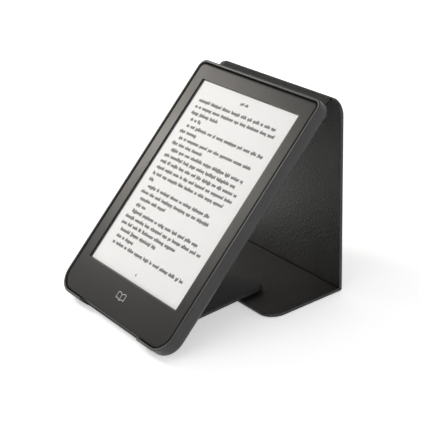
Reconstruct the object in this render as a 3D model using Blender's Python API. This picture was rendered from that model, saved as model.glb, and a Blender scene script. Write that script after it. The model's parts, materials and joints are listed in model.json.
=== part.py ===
"""E-reader in a snap-on cover, folded into its reading stand.

The reader frame holds the reader and its tray: x runs across the screen, y up the
screen and z out of it, with its origin at the centre of the screen. The hinged
parts of the cover have frames of their own, each with its origin on its joint axis
and y running away from that axis along the panel. World X is the joint axes'
direction, -Y is the front and Z = 0 is the table.
"""
import math

import bmesh
import bpy

MM = 0.001

# ---------------------------------------------------------------- stand pose
TILT = math.radians(42.8)
SPINE_DROOP = math.radians(5.4)
LEAN = math.radians(5.4)

# ---------------------------------------------------------------- reader case
READER_W = 112.0 * MM
READER_H = 156.0 * MM
READER_T = 8.4 * MM
READER_LOW_R = 10.5 * MM
READER_TOP_R = 3.8 * MM
TOP_EDGE = 71.6 * MM
BEZEL_FACE = 1.1 * MM
BEZEL_EDGE_R = 1.3 * MM
BEZEL_LIP = 0.48 * MM
BEZEL_WALL = 1.4 * MM
BEZEL_SKIRT = 2.0 * MM
OPENING_R = 0.5 * MM
CASE_SEAM = 0.2 * MM
REAR_WALL = 1.2 * MM
REAR_EDGE_R = 3.0 * MM

# ---------------------------------------------------------------- display stack
ACTIVE_W = 90.6 * MM
ACTIVE_H = 122.4 * MM
OPENING_W = 93.0 * MM
OPENING_H = 123.4 * MM
STACK_W = 100.0 * MM
STACK_H = 131.6 * MM
FILM_T = 0.10 * MM
GUIDE_T = 0.30 * MM
PANEL_T = 0.35 * MM
GLASS_T = 0.40 * MM
LAYER_GAP = 0.05 * MM
CHASSIS_T = 0.8 * MM
GASKET_GAP = 0.2 * MM
STACK_R = 1.0 * MM
BAR_W = 84.0 * MM
BAR_H = 2.0 * MM
BAR_T = 0.15 * MM
BAR_GAP = 0.3 * MM
LAMP_COUNT = 7
LAMP_PITCH = 13.0 * MM
LAMP_W = 2.4 * MM
LAMP_INSET_LOW = 0.6 * MM
LAMP_INSET_TOP = 0.2 * MM
CHASSIS_INSET = 0.6 * MM
CABLE_SLOT_W = 64.0 * MM
CABLE_SLOT_H = 3.0 * MM
WINDOW_X = 22.0 * MM
WINDOW_W = 32.0 * MM
WINDOW_LOW = -20.0 * MM
WINDOW_TOP = 44.0 * MM
WINDOW_R = 4.0 * MM
FLEX_T = 0.12 * MM
FLEX_BEND = 0.5 * MM
FLEX_TURN = 9.0 * MM
FLEX_START = 0.3 * MM

# ---------------------------------------------------------------- inside the case
BOARD_T = 0.7 * MM
BOARD_DEPTH = 3.4 * MM
BOARD_W = 94.0 * MM
BOARD_H = 42.5 * MM
BOARD_R = 2.0 * MM
BOARD_EDGE = 2.5 * MM
SHIELD_WALL = 0.3 * MM
SOCKET_WALL = 0.2 * MM
CARD_PLAY = 0.15 * MM
CONNECTOR_UP = 20.6 * MM
CONNECTOR_W = 30.0 * MM
CONNECTOR_H = 2.9 * MM
BATTERY_SPACE = 5.0 * MM
BATTERY_FRONT_GAP = 0.45 * MM
BATTERY_EDGE_R = 1.0 * MM
TAPE_SHARE = 0.8
TAPE_T = 0.25 * MM
TAPE_GAP = 0.1 * MM
LEAD_T = 0.3 * MM
LEAD_DEPTH = 0.9 * MM
LEAD_W = 7.0 * MM
ANTENNA_LEFT = -18.0 * MM
ANTENNA_W = 48.0 * MM
ANTENNA_H = 3.5 * MM
ANTENNA_EDGE = 7.0 * MM
PART_GAP = 0.05 * MM
BATTERY_W = 88.0 * MM
BATTERY_H = 88.0 * MM
BATTERY_T = 3.3 * MM
SCREW_HEAD_R = 1.5 * MM
SCREW_SHANK_R = 0.6 * MM
SCREW_CLEARANCE = 0.15 * MM
BOSS_R = 1.7 * MM
SCREW_INSET = 3.8 * MM
SCREW_HEAD_T = 0.45 * MM
SCREW_ROWS = (60.0 * MM, -10.0 * MM, -66.0 * MM)

# ---------------------------------------------------------------- edge controls
BUTTON_X = -25.5 * MM
BUTTON_W = 8.6 * MM
BUTTON_H = 1.8 * MM
BUTTON_PROUD = 0.45 * MM
BUTTON_TRAVEL = 0.3 * MM
BUTTON_GAP = 0.15 * MM
BUTTON_EDGE_R = 0.25 * MM
FLANGE_T = 0.6 * MM
FLANGE_WIDER = 0.6 * MM
FLANGE_LOWER = 0.2 * MM
FLANGE_GAP = 0.3 * MM
SWITCH_W = 4.0 * MM
SWITCH_L = 2.2 * MM
SWITCH_H = 1.8 * MM
SWITCH_GAP = 0.1 * MM
PORT_W = 7.8 * MM
PORT_H = 2.7 * MM
PORT_L = 5.2 * MM
PORT_GAP = 0.2 * MM
PORT_INSET = 0.3 * MM
PORT_METAL = 0.35 * MM
PORT_TONGUE_T = 0.7 * MM
PORT_BACK = 1.1 * MM
LIGHT_X = -16.8 * MM
LIGHT_R = 0.5 * MM
LIGHT_INSET = 0.1 * MM

# ---------------------------------------------------------------- tray
TRAY_CLEARANCE = 0.2 * MM
TRAY_WALL = 1.5 * MM
TRAY_FLOOR = 0.65 * MM
TRAY_RIM = 0.45 * MM
TRAY_RIM_R = 0.5 * MM
TRAY_EDGE_R = 4.0 * MM
CUT_LEFT = -30.0 * MM
CUT_RIGHT = 31.0 * MM
CUT_DEPTH = 7.3 * MM
CUT_R = 1.5 * MM

# ---------------------------------------------------------------- cover
SKIN_GAP = 0.05 * MM
BACK_SKIN_T = 0.5 * MM
SPINE_W = 100.0 * MM
SPINE_T = 1.4 * MM
SPINE_AXIS_UP = 0.15 * MM
HINGE_CLEARANCE = 0.2 * MM
WRAP_T = 0.3 * MM
WRAP_GAP = 0.1 * MM
WRAP_START = -78.0
WRAP_END = -12.0
WRAP_STEPS = 8
SKIN_INSET = 3.7 * MM
LID_W = 117.4 * MM
LID_T = 2.1 * MM
LID_TOP_R = 8.7 * MM
LID_FREE_R = 10.0 * MM
LID_GAP = 0.9 * MM
CREASE_GAP = 0.15 * MM
FOLD_GAP_SPINE = 0.7 * MM
HINGE_GAP_SPINE = 0.55 * MM
FOLD_GAP_LID = 1.2 * MM
COVER_SKIN_T = 0.5 * MM
LINING_T = 0.3 * MM
HEM = 2.5 * MM
LINING_INSET = 1.0 * MM
FLAP_W = 62.0 * MM
FLAP_L = 75.0 * MM
FLAP_T = 2.0 * MM
FLAP_R = 6.0 * MM
FLAP_HINGE_R = 1.0 * MM
FLAP_BACK_GAP = 0.35 * MM
FLAP_FLOOR_GAP = 0.1 * MM
FLAP_REST_GAP = 0.3 * MM
MAGNET_W = 14.0 * MM
MAGNET_L = 6.0 * MM
MAGNET_T = 0.8 * MM
MAGNET_EDGE = 12.0 * MM
UPPER_MAGNET_EDGE = 48.0 * MM

# ---------------------------------------------------------------- mesh fineness
CORNER_STEPS = 8
EDGE_STEPS = 5
ROUND_STEPS = 16
OVERCUT = 1.0 * MM
FINE_STEPS = 3
LEAST_R = 0.2 * MM

# ---------------------------------------------------------------- derived heights and places
READER_X = READER_W / 2
READER_TOP = TOP_EDGE
READER_BOTTOM = TOP_EDGE - READER_H
READER_BACK = BEZEL_FACE - READER_T
STACK_TOP = BEZEL_FACE - BEZEL_LIP - LAYER_GAP
GUIDE_TOP = STACK_TOP - FILM_T - LAYER_GAP
PANEL_TOP = GUIDE_TOP - GUIDE_T - LAYER_GAP
GLASS_TOP = PANEL_TOP - PANEL_T - LAYER_GAP
SKIRT_END = BEZEL_FACE - BEZEL_SKIRT
CHASSIS_TOP = min(SKIRT_END, GLASS_TOP - GLASS_T) - LAYER_GAP
CHASSIS_BACK = CHASSIS_TOP - CHASSIS_T
REAR_SHELL_TOP = SKIRT_END - CASE_SEAM
REAR_FLOOR = READER_BACK + REAR_WALL
BOARD_FRONT = BEZEL_FACE - BOARD_DEPTH
BOARD_BACK = BOARD_FRONT - BOARD_T
BOARD_BOTTOM = READER_BOTTOM + REAR_WALL + BOARD_EDGE
BOARD_TOP = BOARD_BOTTOM + BOARD_H
PARTS_TOP = BOARD_BACK - PART_GAP
BATTERY_BOTTOM = BOARD_TOP + BATTERY_SPACE
CONNECTOR_LOW = BOARD_BOTTOM + CONNECTOR_UP
FLEX_END = CONNECTOR_LOW - PART_GAP
FLEX_TURN_Y = FLEX_END - FLEX_TURN
CABLE_SLOT_TOP = FLEX_TURN_Y + CABLE_SLOT_H / 2

TRAY_X = READER_X + TRAY_CLEARANCE + TRAY_WALL
TRAY_TOP = READER_TOP + TRAY_CLEARANCE + TRAY_WALL
TRAY_BOTTOM = READER_BOTTOM - TRAY_CLEARANCE - TRAY_WALL
READER_CORNERS = (READER_LOW_R, READER_LOW_R, READER_TOP_R, READER_TOP_R)
TRAY_CORNERS = tuple(radius + TRAY_CLEARANCE + TRAY_WALL for radius in READER_CORNERS)
TRAY_RIM_TOP = BEZEL_FACE + TRAY_RIM
TRAY_FLOOR_TOP = READER_BACK - TRAY_CLEARANCE
TRAY_BACK = TRAY_FLOOR_TOP - TRAY_FLOOR
SKIN_TOP = TRAY_BACK - SKIN_GAP
SKIN_BACK = SKIN_TOP - BACK_SKIN_T

# the tray stands on its rounded lower back edge
SCREEN_HEIGHT = (-(TRAY_BOTTOM + TRAY_EDGE_R) * math.sin(TILT)
                 - (TRAY_BACK + TRAY_EDGE_R) * math.cos(TILT) + TRAY_EDGE_R)

# the closed lid lies LID_GAP above the rim and ends level with the tray's lower edge
SPINE_AXIS_Y = TRAY_TOP + SPINE_T / 2 + HINGE_CLEARANCE
SPINE_AXIS_Z = TRAY_BACK + TRAY_EDGE_R + SPINE_AXIS_UP
LID_CLOSED_Z = TRAY_RIM_TOP + LID_GAP + LID_T / 2
SPINE_L = LID_CLOSED_Z - SPINE_AXIS_Z
SPINE_TURN = -SPINE_DROOP - TILT
LID_TURN = -math.pi / 2 - LEAN + SPINE_DROOP
CREASE_TURN = -math.pi / 2 + LEAN

SPINE_AXIS_HEIGHT = (SCREEN_HEIGHT + SPINE_AXIS_Y * math.sin(TILT)
                     + SPINE_AXIS_Z * math.cos(TILT))
LID_AXIS_HEIGHT = SPINE_AXIS_HEIGHT - SPINE_L * math.sin(SPINE_DROOP)
UPPER_L = (LID_AXIS_HEIGHT - LID_T / 2 * math.sin(LEAN)) / math.cos(LEAN)
LID_L = SPINE_AXIS_Y - TRAY_BOTTOM
LOWER_L = LID_L - UPPER_L
MITRE_BACK = LID_T / math.tan((math.pi / 2 - LEAN) / 2)

# world depth of the crease and of the spine's and lid's axes before centring
SPINE_AXIS_DEPTH_Y = SPINE_AXIS_Y * math.cos(TILT) - SPINE_AXIS_Z * math.sin(TILT)
LID_AXIS_DEPTH_Y = SPINE_AXIS_DEPTH_Y + SPINE_L * math.cos(SPINE_DROOP)
CREASE_DEPTH_Y = (LID_AXIS_DEPTH_Y + LID_T / 2 * math.cos(LEAN)
                  - UPPER_L * math.sin(LEAN))

# the flap's axis lies just behind the back skin, a flap's thickness above the table
FLAP_AXIS_Z = SKIN_BACK - FLAP_BACK_GAP
FLAP_AXIS_HEIGHT = FLAP_T + FLAP_FLOOR_GAP
FLAP_AXIS_Y = ((FLAP_AXIS_HEIGHT - SCREEN_HEIGHT - FLAP_AXIS_Z * math.cos(TILT))
               / math.sin(TILT))
FLAP_AXIS_DEPTH_Y = FLAP_AXIS_Y * math.cos(TILT) - FLAP_AXIS_Z * math.sin(TILT)
FLAP_RISE = math.atan2(LID_T + FLAP_REST_GAP - FLAP_FLOOR_GAP,
                       CREASE_DEPTH_Y - LOWER_L - FLAP_AXIS_DEPTH_Y)
FLAP_TURN = FLAP_RISE - TILT

# half way between the tray's foremost point and the lid's rearmost point
FRONT_Y = TRAY_BOTTOM * math.cos(TILT) - TRAY_RIM_TOP * math.sin(TILT)
REAR_Y = LID_AXIS_DEPTH_Y + LID_T / 2
CENTRE_Y = (FRONT_Y + REAR_Y) / 2

# ---------------------------------------------------------------- materials
MATERIALS = {
    "bezel_plastic": ((0.060, 0.060, 0.062), 0.55, 0.0),
    "case_plastic": ((0.045, 0.045, 0.047), 0.60, 0.0),
    "tray_plastic": ((0.050, 0.052, 0.050), 0.45, 0.0),
    "cover_leather": ((0.020, 0.019, 0.018), 0.65, 0.0),
    "cover_lining": ((0.030, 0.030, 0.032), 0.90, 0.0),
    "cover_board": ((0.35, 0.30, 0.24), 0.90, 0.0),
    "clear_film": ((0.90, 0.92, 0.92), 0.10, 0.0),
    "panel_white": ((0.80, 0.80, 0.80), 0.70, 0.0),
    "panel_glass": ((0.30, 0.34, 0.33), 0.15, 0.0),
    "black_foam": ((0.012, 0.012, 0.012), 0.95, 0.0),
    "chassis_metal": ((0.55, 0.56, 0.57), 0.40, 1.0),
    "screw_steel": ((0.42, 0.42, 0.43), 0.35, 1.0),
    "board_green": ((0.03, 0.16, 0.08), 0.55, 0.0),
    "chip_black": ((0.020, 0.020, 0.022), 0.50, 0.0),
    "port_steel": ((0.62, 0.62, 0.63), 0.30, 1.0),
    "pouch_foil": ((0.58, 0.58, 0.60), 0.35, 1.0),
    "flex_amber": ((0.55, 0.30, 0.06), 0.40, 0.0),
    "tape_black": ((0.03, 0.03, 0.03), 0.80, 0.0),
    "connector_white": ((0.75, 0.74, 0.70), 0.50, 0.0),
    "magnet_nickel": ((0.66, 0.65, 0.62), 0.25, 1.0),
    "light_clear": ((0.85, 0.88, 0.88), 0.20, 0.0),
}


def clear_scene():
    for old in list(bpy.data.objects):
        bpy.data.objects.remove(old)


def material(name):
    found = bpy.data.materials.get(name)
    if found:
        return found
    color, roughness, metallic = MATERIALS[name]
    made = bpy.data.materials.new(name)
    made.use_nodes = True
    shader = made.node_tree.nodes["Principled BSDF"]
    shader.inputs["Base Color"].default_value = (*color, 1.0)
    shader.inputs["Roughness"].default_value = roughness
    shader.inputs["Metallic"].default_value = metallic
    return made


def frame_empty(name, parent, location, turn):
    empty = bpy.data.objects.new(name, None)
    bpy.context.scene.collection.objects.link(empty)
    empty.parent = parent
    empty.location = location
    empty.rotation_euler = (turn, 0.0, 0.0)
    return empty


def rounded_outline(left, right, low, high, radii, steps=CORNER_STEPS):
    """Counter-clockwise outline; radii go round from the low left corner."""
    corners = ((left, low, 1, 1, 180), (right, low, -1, 1, 270),
               (right, high, -1, -1, 0), (left, high, 1, -1, 90))
    points = []
    for (x, y, inward_x, inward_y, start), radius in zip(corners, radii):
        for step in range(steps + 1):
            angle = math.radians(start + 90.0 * step / steps)
            points.append((x + inward_x * radius + radius * math.cos(angle),
                           y + inward_y * radius + radius * math.sin(angle)))
    return points


def box_outline(left, right, low, high):
    return [(left, low), (right, low), (right, high), (left, high)]


def circle_outline(x, y, radius, steps=ROUND_STEPS):
    turns = [2.0 * math.pi * step / steps for step in range(steps)]
    return [(x + radius * math.cos(turn), y + radius * math.sin(turn)) for turn in turns]


def add_object(name, build, parent, finish):
    """Make an object from a bmesh and put it in its parent's frame."""
    bmesh.ops.remove_doubles(build, verts=build.verts, dist=1e-7)
    bmesh.ops.recalc_face_normals(build, faces=build.faces)
    mesh = bpy.data.meshes.new(name)
    build.to_mesh(mesh)
    build.free()
    mesh.shade_smooth()
    mesh.set_sharp_from_angle(angle=math.radians(35.0))
    made = bpy.data.objects.new(name, mesh)
    bpy.context.scene.collection.objects.link(made)
    made.parent = parent
    if finish:
        mesh.materials.append(material(finish))
    else:
        made.hide_render = True
        made.display_type = "WIRE"
    return made


def loft(name, loops, parent, finish):
    """Close a stack of outlines, each a list of (x, y) at a height z, lowest first."""
    build = bmesh.new()
    rings = [[build.verts.new((x, y, z)) for x, y in points] for z, points in loops]
    for lower, upper in zip(rings, rings[1:]):
        count = len(lower)
        for index in range(count):
            after = (index + 1) % count
            build.faces.new((lower[index], lower[after], upper[after], upper[index]))
    build.faces.new(list(reversed(rings[0])))
    build.faces.new(rings[-1])
    return add_object(name, build, parent, finish)


def plate(name, outline, low, high, parent, finish):
    return loft(name, [(low, outline), (high, outline)], parent, finish)


def block(name, left, right, low, high, bottom, top, parent, finish):
    return plate(name, box_outline(left, right, low, high), bottom, top, parent, finish)


def inset_corners(radii, inset):
    return [max(radius - inset, LEAST_R) for radius in radii]


def inset_outline(half_w, low, high, radii, inset):
    return rounded_outline(-half_w + inset, half_w - inset, low + inset, high - inset,
                           inset_corners(radii, inset))


def tub_loops(half_w, low, high, radii, back, front, back_r, front_r):
    """Loops of a rounded slab whose back and front edges are rounded too."""
    loops = []

    def add(z, inset):
        loops.append((z, inset_outline(half_w, low, high, radii, inset)))

    quarter = [math.pi / 2 * step / EDGE_STEPS for step in range(EDGE_STEPS + 1)]
    for angle in reversed(quarter) if back_r else [0.0]:
        add(back + back_r * (1 - math.sin(angle)), back_r * (1 - math.cos(angle)))
    for angle in quarter if front_r else [0.0]:
        add(front - front_r * (1 - math.sin(angle)), front_r * (1 - math.cos(angle)))
    return loops


def cut(target, cutter, operation="DIFFERENCE"):
    change = target.modifiers.new(cutter.name, "BOOLEAN")
    change.operation = operation
    change.solver = "EXACT"
    change.object = cutter
    cutter.hide_render = True
    cutter.display_type = "WIRE"


def swept_profile(name, profile, left, right, parent, finish):
    """A closed (y, z) profile carried straight across from left to right."""
    build = bmesh.new()
    ends = [[build.verts.new((x, y, z)) for y, z in profile] for x in (left, right)]
    count = len(profile)
    for index in range(count):
        after = (index + 1) % count
        build.faces.new((ends[0][index], ends[0][after], ends[1][after], ends[1][index]))
    build.faces.new(ends[0])
    build.faces.new(list(reversed(ends[1])))
    return add_object(name, build, parent, finish)


def ribbon_profile(path, thickness):
    """Offset an open (y, z) path to both sides by half the thickness."""
    sides = ([], [])
    for index, (y, z) in enumerate(path):
        before = path[max(index - 1, 0)]
        after = path[min(index + 1, len(path) - 1)]
        run = (after[0] - before[0], after[1] - before[1])
        length = math.hypot(*run)
        normal = (-run[1] / length, run[0] / length)
        for side, sign in zip(sides, (0.5, -0.5)):
            side.append((y + sign * thickness * normal[0], z + sign * thickness * normal[1]))
    return sides[0] + list(reversed(sides[1]))


def screw_places():
    return [(side * (READER_X - SCREW_INSET), row) for side in (-1, 1) for row in SCREW_ROWS]


# ---------------------------------------------------------------- reader
def make_front_bezel(reader):
    bezel = loft("front_bezel", tub_loops(READER_X, READER_BOTTOM, READER_TOP,
                                          READER_CORNERS, SKIRT_END, BEZEL_FACE, 0.0,
                                          BEZEL_EDGE_R),
                 reader, "bezel_plastic")
    opening = rounded_outline(-OPENING_W / 2, OPENING_W / 2, -OPENING_H / 2, OPENING_H / 2,
                              (OPENING_R,) * 4, FINE_STEPS)
    cut(bezel, plate("bezel_opening", opening, SKIRT_END - OVERCUT, BEZEL_FACE + OVERCUT,
                     reader, None))
    pocket = inset_outline(READER_X, READER_BOTTOM, READER_TOP, READER_CORNERS, BEZEL_WALL)
    cut(bezel, plate("bezel_pocket", pocket, SKIRT_END - OVERCUT, BEZEL_FACE - BEZEL_LIP,
                     reader, None))
    for number, (x, y) in enumerate(screw_places(), 1):
        boss = plate(f"boss_{number}", circle_outline(x, y, BOSS_R), SKIRT_END,
                     BEZEL_FACE - BEZEL_LIP / 2, reader, None)
        cut(bezel, boss, "UNION")
        pilot = plate(f"pilot_{number}",
                      circle_outline(x, y, SCREW_SHANK_R + SCREW_CLEARANCE),
                      SKIRT_END - OVERCUT, BEZEL_FACE - 2 * BEZEL_LIP, reader, None)
        cut(bezel, pilot)


def make_display(reader):
    half_w = STACK_W / 2
    half_h = STACK_H / 2
    sheet = rounded_outline(-half_w, half_w, -half_h, half_h, (STACK_R,) * 4, FINE_STEPS)
    plate("touch_film", sheet, STACK_TOP - FILM_T, STACK_TOP, reader, "clear_film")
    plate("light_guide", sheet, GUIDE_TOP - GUIDE_T, GUIDE_TOP, reader, "clear_film")
    panel_low = PANEL_TOP - PANEL_T
    block("epaper_panel", -ACTIVE_W / 2, ACTIVE_W / 2, -ACTIVE_H / 2, ACTIVE_H / 2,
          panel_low, PANEL_TOP, reader, "panel_white")
    gasket = plate("screen_gasket", sheet, panel_low, PANEL_TOP, reader, "black_foam")
    hole_x = ACTIVE_W / 2 + GASKET_GAP
    hole_y = ACTIVE_H / 2 + GASKET_GAP
    cut(gasket, block("gasket_hole", -hole_x, hole_x, -hole_y, hole_y,
                      panel_low - OVERCUT, PANEL_TOP + OVERCUT, reader, None))
    plate("backplane_glass", sheet, GLASS_TOP - GLASS_T, GLASS_TOP, reader, "panel_glass")

    bar_top = -half_h - BAR_GAP
    bar_low = bar_top - BAR_H
    bar = block("led_light_bar", -BAR_W / 2, BAR_W / 2, bar_low, bar_top,
                PANEL_TOP - BAR_T, PANEL_TOP, reader, "light_clear")
    for number in range(LAMP_COUNT):
        x = (number - (LAMP_COUNT - 1) / 2) * LAMP_PITCH
        lamp = block(f"lamp_{number}", x - LAMP_W / 2, x + LAMP_W / 2,
                     bar_low + LAMP_INSET_LOW, bar_top - LAMP_INSET_TOP,
                     PANEL_TOP - 2 * BAR_T / 3, GUIDE_TOP, reader, None)
        cut(bar, lamp, "UNION")

    outline = inset_outline(READER_X, READER_BOTTOM, READER_TOP, READER_CORNERS,
                            REAR_WALL + CHASSIS_INSET)
    chassis = plate("display_chassis", outline, CHASSIS_BACK, CHASSIS_TOP, reader,
                    "chassis_metal")
    cut(chassis, block("cable_slot", -CABLE_SLOT_W / 2, CABLE_SLOT_W / 2,
                       CABLE_SLOT_TOP - CABLE_SLOT_H, CABLE_SLOT_TOP,
                       CHASSIS_BACK - OVERCUT, CHASSIS_TOP + OVERCUT, reader, None))
    for side in (-1, 1):
        window = rounded_outline(side * WINDOW_X - WINDOW_W / 2,
                                 side * WINDOW_X + WINDOW_W / 2, WINDOW_LOW, WINDOW_TOP,
                                 (WINDOW_R,) * 4, FINE_STEPS)
        cut(chassis, plate(f"window_{side}", window, CHASSIS_BACK - OVERCUT,
                           CHASSIS_TOP + OVERCUT, reader, None))
    for number, (x, y) in enumerate(screw_places(), 1):
        hole = circle_outline(x, y, SCREW_SHANK_R + 2 * SCREW_CLEARANCE)
        cut(chassis, plate(f"chassis_hole_{number}", hole, CHASSIS_BACK - OVERCUT,
                           CHASSIS_TOP + OVERCUT, reader, None))


def make_screws(reader):
    tip = BEZEL_FACE - 2 * BEZEL_LIP - SCREW_CLEARANCE
    head_top = CHASSIS_BACK - PART_GAP
    for number, (x, y) in enumerate(screw_places(), 1):
        head = circle_outline(x, y, SCREW_HEAD_R)
        shank = circle_outline(x, y, SCREW_SHANK_R)
        loft(f"chassis_screw_{number}",
             [(head_top - SCREW_HEAD_T, head), (head_top, head), (head_top, shank), (tip, shank)],
             reader, "screw_steel")


def make_board(reader):
    outline = rounded_outline(-BOARD_W / 2, BOARD_W / 2, BOARD_BOTTOM, BOARD_TOP,
                              (BOARD_R,) * 4, FINE_STEPS)
    plate("main_board", outline, BOARD_BACK, BOARD_FRONT, reader, "board_green")

    def on_board(name, left, width, low, height, near, deep, finish):
        """Millimetres: left from the middle, low from the board's edge, near and deep
        from the face that carries the parts."""
        return block(name, left * MM, (left + width) * MM, BOARD_BOTTOM + low * MM,
                     BOARD_BOTTOM + (low + height) * MM, PARTS_TOP - deep * MM,
                     PARTS_TOP - near * MM, reader, finish)

    on_board("processor", -22, 14, 22, 14, 0, 1.0, "chip_black")
    on_board("memory_chip", 0, 11, 24, 9, 0, 0.9, "chip_black")
    on_board("power_chip", 15, 6, 22, 6, 0, 0.8, "chip_black")
    on_board("hall_sensor", 41, 3, 34, 3, 0, 0.8, "chip_black")
    on_board("wifi_module", 28, 14, 18, 12, 0, 1.6, "chassis_metal")
    on_board("battery_connector", 24, 9, 36, 4, 0, 1.6, "connector_white")

    shield = on_board("processor_shield", -25, 20, 19, 20, 0, 1.5, "chassis_metal")
    wall = SHIELD_WALL / MM
    cut(shield, on_board("shield_inside", -25 + wall, 20 - 2 * wall, 19 + wall,
                         20 - 2 * wall, -1.0, 1.5 - wall, None))
    socket = on_board("microsd_socket", -45, 15, 20, 16, 0, 1.5, "port_steel")
    wall = SOCKET_WALL / MM
    play = CARD_PLAY / MM
    cut(socket, on_board("card_bay", -44, 13, 19, 16, wall, 1.5 - wall, None))
    on_board("microsd_card", -43, 11, 19.6, 15, wall + play, 1.5 - wall - play,
             "chip_black")


def make_battery(reader):
    top = CHASSIS_BACK - BATTERY_FRONT_GAP
    corners = (2 * BATTERY_EDGE_R,) * 4
    loft("battery_pouch", tub_loops(BATTERY_W / 2, BATTERY_BOTTOM, BATTERY_BOTTOM + BATTERY_H,
                                    corners, top - BATTERY_T, top, BATTERY_EDGE_R,
                                    BATTERY_EDGE_R), reader, "pouch_foil")
    edge = (1 - TAPE_SHARE) / 2 * BATTERY_H
    block("battery_tape", -TAPE_SHARE * BATTERY_W / 2, TAPE_SHARE * BATTERY_W / 2,
          BATTERY_BOTTOM + edge, BATTERY_BOTTOM + BATTERY_H - edge,
          top + TAPE_GAP, top + TAPE_GAP + TAPE_T, reader, "tape_black")
    lead_left = 25.0 * MM
    lead_low = BOARD_BOTTOM + 40.3 * MM
    lead_top = PARTS_TOP - LEAD_DEPTH + LEAD_T / 2
    block("battery_lead", lead_left, lead_left + LEAD_W, lead_low,
          BATTERY_BOTTOM - BUTTON_GAP, lead_top - LEAD_T, lead_top, reader, "flex_amber")
    antenna_low = READER_TOP - ANTENNA_EDGE
    antenna_top = CHASSIS_BACK - 2 * PART_GAP
    block("antenna", ANTENNA_LEFT, ANTENNA_LEFT + ANTENNA_W, antenna_low,
          antenna_low + ANTENNA_H, antenna_top - LEAD_T, antenna_top, reader, "flex_amber")


def make_flexes(reader):
    """Each flex leaves the glass, folds back through the chassis and meets the board."""
    run_z = CHASSIS_BACK - 4 * PART_GAP
    start_z = GLASS_TOP - GLASS_T / 2
    path = [(-STACK_H / 2 - FLEX_START, start_z), (FLEX_TURN_Y + FLEX_BEND, start_z),
            (FLEX_TURN_Y, start_z - FLEX_BEND), (FLEX_TURN_Y, run_z + FLEX_BEND),
            (FLEX_TURN_Y + FLEX_BEND, run_z), (FLEX_END, run_z)]
    profile = ribbon_profile(path, FLEX_T)
    for name, left, right in (("display_flex", -14.0, 14.0), ("touch_flex", 18.0, 27.0),
                              ("light_flex", -27.0, -19.0)):
        swept_profile(name, profile, left * MM, right * MM, reader, "flex_amber")
    block("display_connector", -CONNECTOR_W / 2, CONNECTOR_W / 2, CONNECTOR_LOW,
          CONNECTOR_LOW + CONNECTOR_H, BOARD_FRONT + PART_GAP, CHASSIS_BACK - 2 * PART_GAP,
          reader, "connector_white")


def make_rear_shell(reader):
    shell = loft("reader_rear_shell",
                 tub_loops(READER_X, READER_BOTTOM, READER_TOP, READER_CORNERS,
                           READER_BACK, REAR_SHELL_TOP, REAR_EDGE_R, 0.0),
                 reader, "case_plastic")
    inside = tub_loops(READER_X - REAR_WALL, READER_BOTTOM + REAR_WALL,
                       READER_TOP - REAR_WALL, inset_corners(READER_CORNERS, REAR_WALL),
                       REAR_FLOOR, REAR_SHELL_TOP + OVERCUT, REAR_EDGE_R - REAR_WALL, 0.0)
    cut(shell, loft("rear_inside", inside, reader, None))

    port_z = PARTS_TOP - PORT_H / 2
    wall_out = READER_BOTTOM - OVERCUT
    wall_in = READER_BOTTOM + REAR_EDGE_R

    def wall_hole(name, middle, width, height, grow):
        cut(shell, block(name, middle - width / 2 - grow, middle + width / 2 + grow,
                         wall_out, wall_in, port_z - height / 2 - grow,
                         port_z + height / 2 + grow, reader, None))

    wall_hole("port_slot", 0.0, PORT_W, PORT_H, PORT_GAP)
    wall_hole("button_slot", BUTTON_X, BUTTON_W, BUTTON_H, BUTTON_GAP)
    wall_hole("light_slot", LIGHT_X, 2 * LIGHT_R, 2 * LIGHT_R, BUTTON_GAP)

    port_low = READER_BOTTOM + PORT_INSET
    port = block("usb_port", -PORT_W / 2, PORT_W / 2, port_low, port_low + PORT_L,
                 port_z - PORT_H / 2, port_z + PORT_H / 2, reader, "port_steel")
    for side in (-1, 1):
        low, high = sorted((side * PORT_TONGUE_T / 2, side * (PORT_H / 2 - PORT_METAL)))
        cut(port, block(f"port_mouth_{side}", -PORT_W / 2 + PORT_METAL,
                        PORT_W / 2 - PORT_METAL, wall_out, port_low + PORT_L - PORT_BACK,
                        port_z + low, port_z + high, reader, None))

    block("status_light", LIGHT_X - LIGHT_R, LIGHT_X + LIGHT_R,
          READER_BOTTOM + LIGHT_INSET, BOARD_BOTTOM - FLANGE_GAP,
          port_z - LIGHT_R, port_z + LIGHT_R, reader, "light_clear")
    return port_z


def make_button(reader, height):
    """The cap comes through the bottom wall; a wider flange keeps it in."""
    outer = READER_BOTTOM - BUTTON_PROUD
    flange_low = READER_BOTTOM + REAR_WALL + FLANGE_GAP
    flange_high = flange_low + FLANGE_T
    origin = frame_empty("power_button_slide", reader, (BUTTON_X, outer, height), 0.0)
    depth = flange_low - outer
    half_w = BUTTON_W / 2
    half_h = BUTTON_H / 2
    cap = block("power_button", -half_w, half_w, 0.0, depth, -half_h, half_h, origin,
                "bezel_plastic")
    round_edge = cap.modifiers.new("soft_edges", "BEVEL")
    round_edge.width = BUTTON_EDGE_R
    round_edge.segments = 2
    round_edge.limit_method = "ANGLE"
    flange = block("button_flange", -half_w - FLANGE_WIDER, half_w + FLANGE_WIDER,
                   depth - PART_GAP, flange_high - outer, -half_h + FLANGE_LOWER,
                   half_h - FLANGE_LOWER, origin, None)
    cut(cap, flange, "UNION")
    switch_low = flange_high + BUTTON_TRAVEL + SWITCH_GAP
    block("power_switch", BUTTON_X - SWITCH_W / 2, BUTTON_X + SWITCH_W / 2, switch_low,
          switch_low + SWITCH_L, PARTS_TOP - SWITCH_H, PARTS_TOP, reader, "port_steel")


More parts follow.
